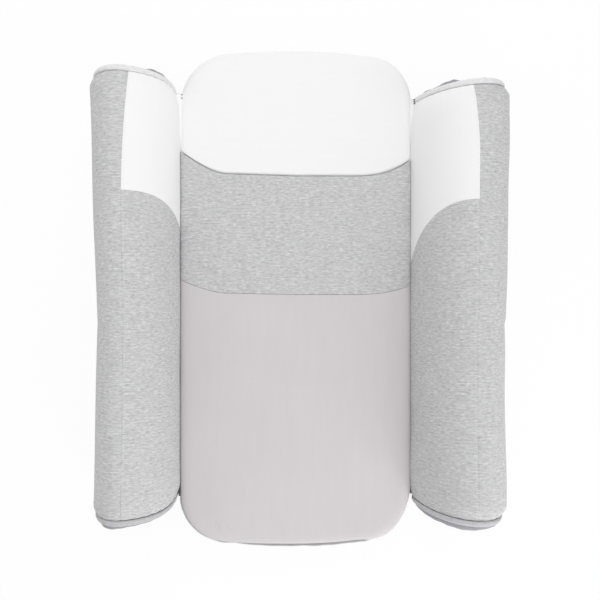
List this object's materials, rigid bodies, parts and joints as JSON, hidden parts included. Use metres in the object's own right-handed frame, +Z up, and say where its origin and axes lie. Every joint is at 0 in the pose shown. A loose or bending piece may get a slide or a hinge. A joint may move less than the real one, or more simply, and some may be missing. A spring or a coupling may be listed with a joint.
{
  "type": "baby nest",
  "caption": "Soft baby nest: a flat padded lying mat with a firm filled roll joined along each long side, open at the head and the foot.",
  "frame": {"origin": "on the surface that the nest lies on, under the middle of its box", "axes": "+X to the right roll, +Y to the head end, +Z up"},
  "size_m": [0.5438, 0.672, 0.131],
  "materials": {
    "plain_jersey": "smooth matte cotton jersey, rosy grey",
    "heather_jersey": "matte heather jersey, light grey with short crosswise flecks",
    "spacer_mesh": "fine white spacer mesh, matte",
    "binding_tape": "pale grey fine-ribbed binding, topstitched",
    "end_jersey": "mid-grey matte jersey",
    "joining_tape": "pale woven tape, stitched"
  },
  "bodies": {
    "root": {"mat": "plain_jersey", "mat_foot_panel": "plain_jersey", "mat_middle_panel": "heather_jersey", "mat_head_panel": "spacer_mesh", "left_roll": "heather_jersey", "left_roll_foot_panel": "heather_jersey", "left_roll_head_panel": "spacer_mesh", "left_foot_binding": "binding_tape", "left_foot_cap": "end_jersey", "left_head_binding": "binding_tape", "left_head_cap": "end_jersey", "left_strip": "joining_tape", "right_roll": "heather_jersey", "right_roll_foot_panel": "heather_jersey", "right_roll_head_panel": "spacer_mesh", "right_foot_binding": "binding_tape", "right_foot_cap": "end_jersey", "right_head_binding": "binding_tape", "right_head_cap": "end_jersey", "right_strip": "joining_tape"}
  },
  "joints": []
}
